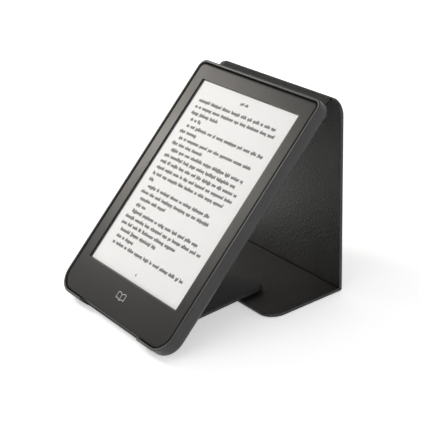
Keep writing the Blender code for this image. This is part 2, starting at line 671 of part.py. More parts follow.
# ---------------------------------------------------------------- tray and cover
def make_tray(reader):
    tray = loft("tray_shell", tub_loops(TRAY_X, TRAY_BOTTOM, TRAY_TOP, TRAY_CORNERS,
                                        TRAY_BACK, TRAY_RIM_TOP, TRAY_EDGE_R, TRAY_RIM_R),
                reader, "tray_plastic")
    gap = TRAY_CLEARANCE
    inside = tub_loops(READER_X + gap, READER_BOTTOM - gap, READER_TOP + gap,
                       [radius + gap for radius in READER_CORNERS], TRAY_FLOOR_TOP,
                       TRAY_RIM_TOP + OVERCUT, REAR_EDGE_R, 0.0)
    cut(tray, loft("tray_inside", inside, reader, None))
    profile = rounded_outline(CUT_LEFT, CUT_RIGHT, TRAY_RIM_TOP - CUT_DEPTH,
                              TRAY_RIM_TOP + 4 * CUT_R, (CUT_R,) * 4, FINE_STEPS)
    notch_frame = frame_empty("notch_frame", reader, (0.0, READER_BOTTOM + gap, 0.0),
                              math.pi / 2)
    cut(tray, plate("bottom_notch", profile, 0.0, 4 * TRAY_WALL, notch_frame, None))

    plate("back_skin", inset_outline(TRAY_X, TRAY_BOTTOM, TRAY_TOP, TRAY_CORNERS,
                                     SKIN_INSET), SKIN_BACK, SKIN_TOP, reader,
          "cover_leather")

    centre_y = TRAY_TOP - TRAY_EDGE_R
    centre_z = TRAY_BACK + TRAY_EDGE_R
    inner = TRAY_EDGE_R + WRAP_GAP
    step = (WRAP_END - WRAP_START) / WRAP_STEPS
    turns = [math.radians(WRAP_START + step * index) for index in range(WRAP_STEPS + 1)]
    arcs = [[(centre_y + radius * math.cos(turn), centre_z + radius * math.sin(turn))
             for turn in turns] for radius in (inner, inner + WRAP_T)]
    swept_profile("hinge_wrap", arcs[0] + list(reversed(arcs[1])), -SPINE_W / 2, SPINE_W / 2,
                  reader, "cover_leather")


def make_spine(spine):
    half = SPINE_W / 2
    start = HINGE_GAP_SPINE
    end = SPINE_L - FOLD_GAP_SPINE
    block("spine_skin", -half, half, start, end, -SPINE_T / 2, -SKIN_GAP, spine,
          "cover_leather")
    block("spine_lining", -half, half, start, end, SKIN_GAP, SPINE_T / 2, spine,
          "cover_lining")


def mitre(target, parent, along, height, turn, side):
    """Cut the crease end of a panel along the plane that halves the fold."""
    frame = frame_empty(f"{target.name}_mitre_frame", parent, (0.0, along, height), turn)
    size = LID_W / 4
    low, high = sorted((-side * CREASE_GAP, side * size))
    cut(target, block(f"{target.name}_mitre", -LID_W, LID_W, low, high, -size, size,
                      frame, None))


def make_panel(prefix, frame, half_w, start, end, leather, lining, radii, magnet_y,
               crease_end=0):
    """A stiff board with a magnet, in a leather skin that its lining closes.

    leather and lining are the heights of the panel's two faces. crease_end is 1 or -1
    where the panel's far or near end is mitred at the crease.
    """
    inward = 1.0 if lining > leather else -1.0
    thick = abs(lining - leather)
    skin_deep = thick - LINING_T - SKIN_GAP
    spare = 2 * MITRE_BACK - HEM

    def slab(name, edge, near, deep, finish, keep_crease):
        low_end = start + edge + (spare if keep_crease and crease_end < 0 else 0.0)
        high_end = end - edge - (spare if keep_crease and crease_end > 0 else 0.0)
        outline = rounded_outline(-half_w + edge, half_w - edge, low_end, high_end,
                                  inset_corners(radii, edge))
        low, high = sorted((leather + inward * near, leather + inward * deep))
        return plate(name, outline, low, high, frame, finish)

    skin = slab(f"{prefix}_skin", 0.0, 0.0, skin_deep, "cover_leather", False)
    cut(skin, slab(f"{prefix}_pocket", HEM, COVER_SKIN_T, thick + OVERCUT, None, True))
    if crease_end:
        half_angle = (math.pi / 2 - LEAN) / 2
        fold_y = end if crease_end > 0 else start
        mitre(skin, frame, fold_y, lining, crease_end * (half_angle - math.pi / 2),
              crease_end)
    board = slab(f"{prefix}_board", HEM + 2 * SKIN_GAP, COVER_SKIN_T + SKIN_GAP, skin_deep,
                 "cover_board", True)
    slab(f"{prefix}_lining", LINING_INSET, thick - LINING_T, thick, "cover_lining", False)

    magnet_near = skin_deep - MAGNET_T
    play = 2 * SKIN_GAP

    def magnet_block(name, grow, deep, finish):
        low, high = sorted((leather + inward * (magnet_near - grow), leather + inward * deep))
        return block(name, -MAGNET_W / 2 - grow, MAGNET_W / 2 + grow,
                     magnet_y - MAGNET_L / 2 - grow, magnet_y + MAGNET_L / 2 + grow,
                     low, high, frame, finish)

    cut(board, magnet_block(f"{prefix}_magnet_pocket", play, skin_deep + OVERCUT, None))
    magnet_block(f"{prefix}_magnet", 0.0, skin_deep, "magnet_nickel")


def make_lid(lid, crease):
    half_t = LID_T / 2
    make_panel("lid_upper", lid, LID_W / 2, FOLD_GAP_LID, UPPER_L, -half_t, half_t,
               (LID_TOP_R, LID_TOP_R, 0.0, 0.0), UPPER_L - UPPER_MAGNET_EDGE, 1)
    make_panel("lid_lower", crease, LID_W / 2, 0.0, LOWER_L, -LID_T, 0.0,
               (0.0, 0.0, LID_FREE_R, LID_FREE_R), LOWER_L - MAGNET_EDGE, -1)


def make_flap(flap):
    make_panel("flap", flap, FLAP_W / 2, 0.0, FLAP_L, -FLAP_T, 0.0,
               (FLAP_HINGE_R, FLAP_HINGE_R, FLAP_R, FLAP_R), FLAP_L - MAGNET_EDGE)


def main():
    clear_scene()
    reader = frame_empty("reader_frame", None, (0.0, -CENTRE_Y, SCREEN_HEIGHT), TILT)
    spine = frame_empty("spine_hinge", reader, (0.0, SPINE_AXIS_Y, SPINE_AXIS_Z), SPINE_TURN)
    lid = frame_empty("lid_hinge", spine, (0.0, SPINE_L, 0.0), LID_TURN)
    crease = frame_empty("lid_crease", lid, (0.0, UPPER_L, LID_T / 2), CREASE_TURN)
    flap = frame_empty("flap_hinge", reader, (0.0, FLAP_AXIS_Y, FLAP_AXIS_Z), FLAP_TURN)

    make_front_bezel(reader)
    make_display(reader)
    make_screws(reader)
    make_board(reader)
    make_battery(reader)
    make_flexes(reader)
    height = make_rear_shell(reader)
    make_button(reader, height)
    make_tray(reader)
    make_spine(spine)
    make_lid(lid, crease)
    make_flap(flap)


main()
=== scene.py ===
"""Looks of an e-reader in a snap-on cover that is folded into its reading stand.

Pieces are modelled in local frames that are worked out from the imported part: READER has
x across the screen, y up it and z out of it; SPINE, UPPER, LOWER and FLAP start on their
joint's axis, with y running along the panel. Each mesh is then moved to the row frame.
"""

import json
import math
import random

import bmesh
import bpy
from mathutils import Matrix, Vector


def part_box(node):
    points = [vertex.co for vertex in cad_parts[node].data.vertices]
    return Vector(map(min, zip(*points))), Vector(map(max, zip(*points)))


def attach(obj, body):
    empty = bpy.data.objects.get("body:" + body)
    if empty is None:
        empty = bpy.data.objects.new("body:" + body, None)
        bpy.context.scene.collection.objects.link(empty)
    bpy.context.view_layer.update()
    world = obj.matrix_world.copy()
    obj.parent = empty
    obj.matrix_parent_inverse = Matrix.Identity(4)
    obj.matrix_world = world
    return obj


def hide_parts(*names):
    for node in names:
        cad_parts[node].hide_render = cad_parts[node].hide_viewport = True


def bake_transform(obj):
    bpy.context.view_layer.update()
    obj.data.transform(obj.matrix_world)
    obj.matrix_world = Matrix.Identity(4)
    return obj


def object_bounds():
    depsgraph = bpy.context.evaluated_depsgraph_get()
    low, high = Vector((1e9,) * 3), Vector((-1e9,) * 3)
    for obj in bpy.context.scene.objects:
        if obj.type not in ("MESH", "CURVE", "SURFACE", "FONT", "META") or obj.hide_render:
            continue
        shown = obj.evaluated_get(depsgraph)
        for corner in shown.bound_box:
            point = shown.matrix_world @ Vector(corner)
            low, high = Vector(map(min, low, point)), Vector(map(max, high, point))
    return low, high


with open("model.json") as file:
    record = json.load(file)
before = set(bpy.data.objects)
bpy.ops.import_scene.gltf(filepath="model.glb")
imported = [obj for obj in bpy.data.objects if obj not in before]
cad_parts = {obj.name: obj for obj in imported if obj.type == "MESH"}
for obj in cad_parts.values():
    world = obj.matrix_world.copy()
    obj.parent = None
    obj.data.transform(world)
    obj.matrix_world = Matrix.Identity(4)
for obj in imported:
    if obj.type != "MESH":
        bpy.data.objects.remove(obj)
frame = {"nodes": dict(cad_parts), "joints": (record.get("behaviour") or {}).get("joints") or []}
cad_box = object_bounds()

MM = 0.001

# ---------------------------------------------------------------- frames from the part
joints = {joint["name"]: joint for joint in frame["joints"]}


def turned(origin, angle):
    return Matrix.Translation(Vector(origin)) @ Matrix.Rotation(angle, 4, "X")


def heading(start, end):
    run = Vector(end) - Vector(start)
    return math.atan2(run.z, run.y)


def reach(node, place):
    """Lowest and highest corner of a CAD node in a local frame."""
    inverse = place.inverted()
    points = [inverse @ vertex.co for vertex in frame["nodes"][node].data.vertices]
    return [Vector([pick(point[axis] for point in points) for axis in range(3)])
            for pick in (min, max)]


def middle(node):
    low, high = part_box(node)
    return (low + high) / 2


up_screen = Vector(joints["power_button_press"]["axis"])
tilt = math.atan2(up_screen.z, up_screen.y)
spine_axis = Vector(joints["spine_hinge"]["pos_m"])
lid_axis = Vector(joints["lid_hinge"]["pos_m"])
crease_axis = Vector(joints["lid_crease"]["pos_m"])
flap_axis = Vector(joints["flap_hinge"]["pos_m"])

PANEL_TOP = 0.07 * MM    # the screen's top face, above the reader frame's origin
panel = turned(middle("epaper_panel"), tilt)
panel_half_t = reach("epaper_panel", panel)[1].z
READER = panel @ Matrix.Translation((0.0, 0.0, panel_half_t - PANEL_TOP))
SPINE = turned(spine_axis, heading(spine_axis, lid_axis))
LOWER = turned(crease_axis, math.pi)
lid_t = -reach("lid_lower_skin", LOWER)[0].z
span = (crease_axis - lid_axis).length
UPPER = turned(lid_axis, heading(lid_axis, crease_axis) - math.asin(lid_t / 2 / span))
FLAP = turned(flap_axis, tilt - math.radians(joints["flap_hinge"]["range_deg"][1]))

bezel_low, bezel_high = reach("front_bezel", READER)
tray_low, tray_high = reach("tray_shell", READER)
skin_low, skin_high = reach("back_skin", READER)
spine_high = reach("spine_skin", SPINE)[1]
upper_low, upper_high = reach("lid_upper_skin", UPPER)
lower_low, lower_high = reach("lid_lower_skin", LOWER)
flap_low, flap_high = reach("flap_skin", FLAP)

# ---------------------------------------------------------------- shapes
CASE_LOW_R = 10.5 * MM
CASE_TOP_R = 3.8 * MM
CASE_GAP = 0.2 * MM
BEZEL_EDGE_R = 1.3 * MM
BEZEL_LIP = 0.48 * MM
BEZEL_WALL = 1.4 * MM
OPENING_W = 93.0 * MM
OPENING_H = 123.4 * MM
OPENING_R = 0.5 * MM
OPENING_EDGE_R = 0.12 * MM
ACTIVE_W = 90.6 * MM
ACTIVE_H = 122.4 * MM
FACE_SUPPORT = 0.5 * MM    # flat rim kept beside a rounded edge
TRAY_WALL = 1.5 * MM
TRAY_FLOOR = 0.65 * MM
TRAY_EDGE_R = 4.0 * MM
NOTCH_LEFT = -30.0 * MM
NOTCH_RIGHT = 31.0 * MM
NOTCH_DEPTH = 7.3 * MM
NOTCH_R = 1.5 * MM
TRAY_RIM_R = 0.5 * MM
TRAY_FLOOR_R = 1.0 * MM
TRAY_SUPPORT = 1.0 * MM    # flat rim outside the tray, between its round edge and its back
CUT_PAST = 1.0 * MM    # how far the notch cutter runs outside the tray
CUT_INSIDE = 0.15 * MM    # and how far inside its wall
LINING_PROUD = 0.06 * MM
LINING_INSET = 1.1 * MM
PANEL_EDGE_R = 0.5 * MM
FOLD_CORNER_R = 0.6 * MM
BASE_CORNER_R = 10.0 * MM
FLAP_CORNER_R = 6.0 * MM
CORNER_STEPS = 16
EDGE_STEPS = 6


def quarter(steps, start=0.0, end=90.0):
    return [math.radians(start + (end - start) * step / steps) for step in range(steps + 1)]


def rounded_outline(left, right, low, high, radii, steps=CORNER_STEPS):
    """Counter-clockwise points; radii go round from the low left corner."""
    corners = ((left, low, 1, 1, 180), (right, low, -1, 1, 270),
               (right, high, -1, -1, 0), (left, high, 1, -1, 90))
    points = []
    for (x, y, inward_x, inward_y, start), radius in zip(corners, radii):
        for angle in quarter(steps, start, start + 90.0):
            points.append((x + inward_x * radius + radius * math.cos(angle),
                           y + inward_y * radius + radius * math.sin(angle)))
    return points


def inset_loop(low, high, radii, inset, z, least=0.12 * MM):
    corners = [max(radius - inset, least) for radius in radii]
    outline = rounded_outline(low.x + inset, high.x - inset, low.y + inset, high.y - inset,
                              corners)
    return [(x, y, z) for x, y in outline]


def finish_mesh(name, build, place, finish, sharp=35.0):
    bmesh.ops.recalc_face_normals(build, faces=build.faces)
    mesh = bpy.data.meshes.new(name)
    build.to_mesh(mesh)
    build.free()
    mesh.transform(place)
    mesh.shade_smooth()
    mesh.set_sharp_from_angle(angle=math.radians(sharp))
    made = bpy.data.objects.new(name, mesh)
    bpy.context.scene.collection.objects.link(made)
    if finish:
        mesh.materials.append(finish)
    return made


def loft(name, loops, place, finish, closed_ring=False):
    """Skin a stack of loops; a closed ring joins the last to the first, else both are capped."""
    build = bmesh.new()
    rings = [[build.verts.new(point) for point in loop] for loop in loops]
    pairs = list(zip(rings, rings[1:]))
    if closed_ring:
        pairs.append((rings[-1], rings[0]))
    for lower, upper in pairs:
        count = len(lower)
        for index in range(count):
            after = (index + 1) % count
            build.faces.new((lower[index], lower[after], upper[after], upper[index]))
    if not closed_ring:
        build.faces.new(list(reversed(rings[0])))
        build.faces.new(rings[-1])
    return finish_mesh(name, build, place, finish)


def slab_loops(low, high, radii, back_r, front_r, support=FACE_SUPPORT):
    """A rounded plate with rounded back and front edges, and a flat rim inside each."""
    loops = [inset_loop(low, high, radii, back_r + support, low.z)]
    for angle in reversed(quarter(EDGE_STEPS)):
        loops.append(inset_loop(low, high, radii, back_r * (1 - math.cos(angle)),
                                low.z + back_r * (1 - math.sin(angle))))
    for angle in quarter(EDGE_STEPS):
        loops.append(inset_loop(low, high, radii, front_r * (1 - math.cos(angle)),
                                high.z - front_r * (1 - math.sin(angle))))
    loops.append(inset_loop(low, high, radii, front_r + support, high.z))
    return loops


def ribbon(name, path, thickness, half_w, place, finish, columns=24, soft=0.25):
    """A strip of leather or lining: an open (y, z) path with thickness to its left side."""
    build = bmesh.new()
    outline = list(path)
    back = []
    for index, (y, z) in enumerate(path):
        before = path[max(index - 1, 0)]
        after = path[min(index + 1, len(path) - 1)]
        run = Vector((after[0] - before[0], after[1] - before[1])).normalized()
        back.append((y - run.y * thickness, z + run.x * thickness))
    outline += list(reversed(back))
    rows = []
    for column in range(columns + 1):
        x = -half_w + 2 * half_w * column / columns
        rows.append([build.verts.new((x, y, z)) for y, z in outline])
    count = len(outline)
    for near, far in zip(rows, rows[1:]):
        for index in range(count):
            after = (index + 1) % count
            build.faces.new((near[index], near[after], far[after], far[index]))
    steps = len(path)
    for row in (rows[0], rows[-1]):
        for index in range(steps - 1):
            build.faces.new((row[index], row[index + 1], row[count - 2 - index],
                             row[count - 1 - index]))
    made = finish_mesh(name, build, place, finish)
    edge = made.modifiers.new("soft_edge", "BEVEL")
    edge.width = soft * thickness
    edge.segments = 2
    edge.limit_method = "ANGLE"
    edge.angle_limit = math.radians(50.0)
    return made


def arc(centre, radius, start, end, steps):
    return [(centre[0] + radius * math.cos(angle), centre[1] + radius * math.sin(angle))
            for angle in quarter(steps, start, end)]


# ---------------------------------------------------------------- materials
def tone(value, warm=0.0):
    """Linear colour of an 8-bit brightness, a little warmer or cooler than grey."""
    level = ((value / 255 + 0.055) / 1.055) ** 2.4 if value > 10 else value / 255 / 12.92
    return (level * (1 + warm), level, level * (1 - warm), 1.0)


def finish_of(name, dark, light, rough, grain, depth, cells=False, patch=45.0, metal=0.0,
              sheen=0.0, specular=0.5, spread=0.08, coat=0.0, alpha=1.0):
    """Colour from fine grain over broad patches, with the grain in the relief and gloss."""
    made = bpy.data.materials.new(name)
    made.use_nodes = True
    nodes = made.node_tree.nodes
    link = made.node_tree.links.new
    shader = nodes["Principled BSDF"]
    place = nodes.new("ShaderNodeTexCoord")
    broad = nodes.new("ShaderNodeTexNoise")
    broad.inputs["Scale"].default_value = patch
    broad.inputs["Detail"].default_value = 4.0
    fine = nodes.new("ShaderNodeTexVoronoi" if cells else "ShaderNodeTexNoise")
    fine.inputs["Scale"].default_value = grain
    fine_out = fine.outputs["Distance" if cells else "Fac"]
    for texture in (broad, fine):
        link(place.outputs["Object"], texture.inputs["Vector"])
    blend_fac = nodes.new("ShaderNodeMath")
    blend_fac.operation = "MULTIPLY_ADD"
    blend_fac.inputs[1].default_value = 0.5
    link(fine_out, blend_fac.inputs[0])
    half = nodes.new("ShaderNodeMath")
    half.operation = "MULTIPLY"
    half.inputs[1].default_value = 0.5
    link(broad.outputs["Fac"], half.inputs[0])
    link(half.outputs[0], blend_fac.inputs[2])
    ramp = nodes.new("ShaderNodeValToRGB")
    ramp.color_ramp.elements[0].position = 0.3
    ramp.color_ramp.elements[0].color = dark
    ramp.color_ramp.elements[1].position = 0.7
    ramp.color_ramp.elements[1].color = light
    link(blend_fac.outputs[0], ramp.inputs["Fac"])
    link(ramp.outputs["Color"], shader.inputs["Base Color"])
    gloss = nodes.new("ShaderNodeMapRange")
    gloss.inputs["To Min"].default_value = max(rough - spread, 0.02)
    gloss.inputs["To Max"].default_value = min(rough + spread, 1.0)
    link(blend_fac.outputs[0], gloss.inputs["Value"])
    link(gloss.outputs["Result"], shader.inputs["Roughness"])
    relief = nodes.new("ShaderNodeBump")
    relief.inputs["Strength"].default_value = 0.6
    relief.inputs["Distance"].default_value = depth
    link(fine_out, relief.inputs["Height"])
    link(relief.outputs["Normal"], shader.inputs["Normal"])
    shader.inputs["Metallic"].default_value = metal
    shader.inputs["Specular IOR Level"].default_value = specular
    shader.inputs["Sheen Weight"].default_value = sheen
    shader.inputs["Coat Weight"].default_value = coat
    shader.inputs["Alpha"].default_value = alpha
    return made


BEZEL = finish_of("bezel_plastic", tone(14, 0.03), tone(20, 0.03), 0.36, 5200, 0.00003,
                  specular=0.15)
CASE = finish_of("case_plastic", tone(38), tone(48), 0.5, 4200, 0.00003)
TRAY = finish_of("tray_plastic", tone(42, -0.01), tone(52, -0.01), 0.4, 3000, 0.00002,
                 specular=0.3)
LEATHER = finish_of("cover_leather", tone(10, 0.04), tone(36, 0.04), 0.46, 900, 0.00020,
                    cells=True, specular=0.5)
LINING = finish_of("cover_lining", tone(38, -0.02), tone(52, -0.02), 0.9, 4200, 0.00008,
                   sheen=0.12, specular=0.2)
# Painted shade: the crease fold gets a darker, matte leather than the panels, so the groove of
# the crease reads dark.
CREASE_PAINTED_SHADE = finish_of("crease_painted_shade", tone(8), tone(16), 0.95, 900, 0.0001, cells=True,
                   specular=0.04)
PAPER = finish_of("page_white", tone(236), tone(240), 0.75, 2600, 0.00001, specular=0.15)
INK = finish_of("page_ink", tone(92), tone(128), 0.8, 1800, 0.00001, specular=0.1)
MARK = finish_of("mark_print", tone(150), tone(172), 0.5, 2600, 0.00001)
FILM = finish_of("clear_film", tone(250), tone(255), 0.35, 2600, 0.00001, alpha=0.02)
STEEL = finish_of("plain_steel", tone(160), tone(196), 0.3, 900, 0.00002, metal=1.0)
BLACK = finish_of("moulded_black", tone(26), tone(40), 0.5, 3000, 0.00002)
GREEN = finish_of("board_mask", (0.02, 0.12, 0.06, 1), (0.03, 0.18, 0.09, 1), 0.4, 900,
                  0.00002)
AMBER = finish_of("flex_amber", (0.45, 0.22, 0.04, 1), (0.6, 0.34, 0.08, 1), 0.35, 900,
                  0.00001, coat=0.3)
FOIL = finish_of("pouch_foil", tone(186), tone(214), 0.36, 420, 0.00008, metal=0.9)
CARD = finish_of("cover_card", (0.26, 0.21, 0.15, 1), (0.4, 0.34, 0.26, 1), 0.9, 1600,
                 0.00005)
WHITE = finish_of("connector_white", tone(212), tone(228), 0.5, 2200, 0.00001)
GLASS = finish_of("panel_glass", tone(130), tone(150), 0.2, 900, 0.00001, coat=0.4)
NICKEL = finish_of("magnet_nickel", tone(188), tone(214), 0.25, 1100, 0.00002, metal=1.0)

CAD_FINISH = (
    (PAPER, ("epaper_panel",)), (FILM, ("touch_film", "light_guide")),
    (GLASS, ("backplane_glass",)), (NICKEL, ("_magnet",)),
    (CARD, ("lid_upper_board", "lid_lower_board", "flap_board")),
    (STEEL, ("display_chassis", "chassis_screw", "usb_port", "processor_shield",
             "microsd_socket", "wifi_module")),
    (GREEN, ("main_board",)), (AMBER, ("_flex",)), (FOIL, ("battery_pouch",)),
    (WHITE, ("connector", "led_light_bar", "status_light")),
    (CASE, ("reader_rear_shell", "power_button")), (TRAY, ("tray_shell",)),
    (LINING, ("_lining",)), (LEATHER, ("_skin", "hinge_wrap")), (BEZEL, ("front_bezel",)),
)
for node, made in frame["nodes"].items():
    chosen = BLACK
    for candidate, parts in CAD_FINISH:
        if any(part in node for part in parts):
            chosen = candidate
            break
    if not made.material_slots:
        made.data.materials.append(chosen)
    for holder in made.material_slots:
        holder.link = "OBJECT"
        holder.material = chosen

# ---------------------------------------------------------------- reader and tray
case_radii = (CASE_LOW_R, CASE_LOW_R, CASE_TOP_R, CASE_TOP_R)


def bezel_piece():
    outer = [inset_loop(bezel_low, bezel_high, case_radii, 0.0, bezel_low.z)]
    for angle in quarter(EDGE_STEPS):
        outer.append(inset_loop(bezel_low, bezel_high, case_radii,
                                BEZEL_EDGE_R * (1 - math.cos(angle)),
                                bezel_high.z - BEZEL_EDGE_R * (1 - math.sin(angle))))
    outer.append(inset_loop(bezel_low, bezel_high, case_radii, BEZEL_EDGE_R + FACE_SUPPORT,
                            bezel_high.z))
    hole_high = Vector((OPENING_W / 2, OPENING_H / 2, 0.0))
    hole_low = -hole_high
    hole_radii = (OPENING_R,) * 4
    edge = OPENING_EDGE_R
    lip = bezel_high.z - BEZEL_LIP
    outer.append(inset_loop(hole_low, hole_high, hole_radii, -FACE_SUPPORT,
                            bezel_high.z))
    for angle in quarter(3):
        outer.append(inset_loop(hole_low, hole_high, hole_radii, -edge * (1 - math.sin(angle)),
                                bezel_high.z - edge * (1 - math.cos(angle))))
    outer.append(inset_loop(hole_low, hole_high, hole_radii, 0.0, lip))
    outer.append(inset_loop(bezel_low, bezel_high, case_radii, BEZEL_WALL, lip))
    outer.append(inset_loop(bezel_low, bezel_high, case_radii, BEZEL_WALL, bezel_low.z))
    return loft("bezel", outer, READER, BEZEL, closed_ring=True)


bezel = bezel_piece()
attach(bezel, "reader")
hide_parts("front_bezel")

tray_radii = [radius + CASE_GAP + TRAY_WALL for radius in case_radii]


def applied(made):
    depsgraph = bpy.context.evaluated_depsgraph_get()
    mesh = bpy.data.meshes.new_from_object(made.evaluated_get(depsgraph))
    made.modifiers.clear()
    made.data = mesh


def tray_piece():
    rim_r = TRAY_RIM_R
    inner_r = TRAY_FLOOR_R
    floor_z = tray_low.z + TRAY_FLOOR
    loops = [inset_loop(tray_low, tray_high, tray_radii, TRAY_EDGE_R + TRAY_SUPPORT,
                        tray_low.z)]
    for angle in reversed(quarter(EDGE_STEPS + 2)):
        loops.append(inset_loop(tray_low, tray_high, tray_radii,
                                TRAY_EDGE_R * (1 - math.cos(angle)),
                                tray_low.z + TRAY_EDGE_R * (1 - math.sin(angle))))
    for angle in quarter(4):
        loops.append(inset_loop(tray_low, tray_high, tray_radii,
                                rim_r * (1 - math.cos(angle)),
                                tray_high.z - rim_r * (1 - math.sin(angle))))
    for angle in quarter(4):
        loops.append(inset_loop(tray_low, tray_high, tray_radii,
                                TRAY_WALL - rim_r * (1 - math.sin(angle)),
                                tray_high.z - rim_r * (1 - math.cos(angle))))
    for angle in quarter(4):
        loops.append(inset_loop(tray_low, tray_high, tray_radii,
                                TRAY_WALL + inner_r * (1 - math.cos(angle)),
                                floor_z + inner_r * (1 - math.sin(angle))))
    made = loft("tray", loops, READER, TRAY)
    top = tray_high.z
    bottom = top - NOTCH_DEPTH
    flare = NOTCH_R
    side = [(NOTCH_RIGHT + flare, top + CUT_PAST), (NOTCH_RIGHT + flare, top)]
    side += arc((NOTCH_RIGHT + flare, top - flare), flare, 90, 180, 6)[1:]
    side += arc((NOTCH_RIGHT - NOTCH_R, bottom + NOTCH_R), NOTCH_R, 0, -90, 6)
    side += arc((NOTCH_LEFT + NOTCH_R, bottom + NOTCH_R), NOTCH_R, 270, 180, 6)
    side += arc((NOTCH_LEFT - flare, top - flare), flare, 0, 90, 6)
    side += [(NOTCH_LEFT - flare, top + CUT_PAST)]
    build = bmesh.new()
    depth = (tray_low.y - CUT_PAST, tray_low.y + TRAY_WALL + CUT_INSIDE)
    front, back = [[build.verts.new((x, y, z)) for x, z in side] for y in depth]
    for index in range(len(side)):
        after = (index + 1) % len(side)
        build.faces.new((front[index], front[after], back[after], back[index]))
    build.faces.new(front)
    build.faces.new(list(reversed(back)))
    cutter = finish_mesh("notch_cutter", build, READER, None)
    cut = made.modifiers.new("notch", "BOOLEAN")
    cut.object = cutter
    cut.solver = "EXACT"
    applied(made)
    bpy.data.objects.remove(cutter)
    made.data.shade_smooth()
    made.data.set_sharp_from_angle(angle=math.radians(32))
    return made


tray = tray_piece()
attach(tray, "reader")
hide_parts("tray_shell")

SKIN_INSET = skin_low.x - tray_low.x
skin_radii = [radius - SKIN_INSET for radius in tray_radii]
back = loft("back_leather", slab_loops(skin_low, skin_high, skin_radii, 0.3 * MM, 0.05 * MM),
            READER, LEATHER)
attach(back, "reader")
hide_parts("back_skin")


# ---------------------------------------------------------------- cover panels
def mitred(loops, low, high, cut):
    """Lean the far end of a panel back towards the face that folds inwards."""
    centre = (low.y + high.y) / 2
    return [[(x, y - (cut * (high.z - z) / (high.z - low.z) if y > centre else 0.0), z)
             for x, y, z in loop] for loop in loops]


def panel_piece(name, low, high, radii, place, body, skin, lining, cut, hem_far):
    """A leather-wrapped board: a rounded slab with a thin lining laid on its high face."""
    slab_rings = slab_loops(low, high, radii, PANEL_EDGE_R, PANEL_EDGE_R)
    slab = loft(name + "_leather", mitred(slab_rings, low, high, cut), place, LEATHER)
    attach(slab, body)
    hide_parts(skin)
    lining_low = Vector((low.x + LINING_INSET, low.y + LINING_INSET, high.z - 0.2 * MM))
    lining_high = Vector((high.x - LINING_INSET, high.y - hem_far, high.z + LINING_PROUD))
    lining_radii = [max(radius - LINING_INSET, 0.3 * MM) for radius in radii]
    sheet = loft(name + "_inner_cloth", slab_loops(lining_low, lining_high, lining_radii,
                                                   0.02 * MM, 0.12 * MM), place, LINING)
    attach(sheet, body)
    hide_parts(lining)


half_lid_t = lid_t / 2
MITRE = lid_t * math.tan(math.radians(joints["lid_crease"]["range_deg"][1]) / 2)
TALL_R = 8.2 * MM
TALL_RISE = 1.8 * MM
GAP = 0.08 * MM
up_low = Vector((upper_low.x, upper_low.y - TALL_RISE, -half_lid_t))
up_high = Vector((upper_high.x, span - GAP, half_lid_t))
panel_piece("tall_panel", up_low, up_high, (TALL_R, TALL_R, FOLD_CORNER_R, FOLD_CORNER_R), UPPER,
            "lid_upper", "lid_upper_skin", "lid_upper_lining", MITRE, 1.9 * MM)
low_low = Vector((lower_low.x, GAP, -lid_t))
low_high = Vector((lower_high.x, lower_high.y, -LINING_PROUD))


def base_loops():
    radii = (FOLD_CORNER_R, FOLD_CORNER_R, BASE_CORNER_R, BASE_CORNER_R)
    loops = slab_loops(low_low, low_high, radii, PANEL_EDGE_R, PANEL_EDGE_R)
    centre = (low_low.y + low_high.y) / 2
    return [[(x, y + (MITRE * (low_high.z - z) / lid_t if y < centre else 0.0), z)
             for x, y, z in loop] for loop in loops]


base = loft("base_panel_leather", base_loops(), LOWER, LEATHER)
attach(base, "lid_lower")
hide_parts("lid_lower_skin")

flap = loft("flap_leather", slab_loops(flap_low, Vector((flap_high.x, flap_high.y, -0.05 * MM)),
                                       (1.0 * MM, 1.0 * MM, FLAP_CORNER_R, FLAP_CORNER_R),
                                       PANEL_EDGE_R, PANEL_EDGE_R), FLAP, LEATHER)
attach(flap, "flap")
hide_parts("flap_skin")
flap_cloth_low = Vector((flap_low.x + LINING_INSET, flap_low.y + LINING_INSET, -0.3 * MM))
flap_cloth_high = Vector((flap_high.x - LINING_INSET, flap_high.y - LINING_INSET, 0.02 * MM))
flap_cloth = loft("flap_inner_cloth", slab_loops(flap_cloth_low, flap_cloth_high,
                                                 (0.5 * MM, 0.5 * MM, 4.9 * MM, 4.9 * MM),
                                                 0.02 * MM, 0.12 * MM), FLAP, LINING)
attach(flap_cloth, "flap")
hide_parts("flap_lining")


# ---------------------------------------------------------------- folds across the joints
def in_world(place, y, z):
    point = place @ Vector((0.0, y, z))
    return (point.y, point.z)


def smooth_path(points, per_run=5):
    """Points on a smooth curve through the given ones."""
    made = []
    padded = [points[0]] + list(points) + [points[-1]]
    for before, start, end, after in zip(padded, padded[1:], padded[2:], padded[3:]):
        for step in range(per_run):
            t = step / per_run
            made.append(tuple(
                0.5 * (2 * b + (c - a) * t + (2 * a - 5 * b + 4 * c - d) * t * t
                       + (3 * b - a - 3 * c + d) * t ** 3)
                for a, b, c, d in zip(before, start, end, after)))
    made.append(points[-1])
    return made


def shifted(path, offset):
    """The path moved to its left side."""
    made = []
    for index, (y, z) in enumerate(path):
        before = path[max(index - 1, 0)]
        after = path[min(index + 1, len(path) - 1)]
        run = Vector((after[0] - before[0], after[1] - before[1])).normalized()
        made.append((y - run.y * offset, z + run.x * offset))
    return made


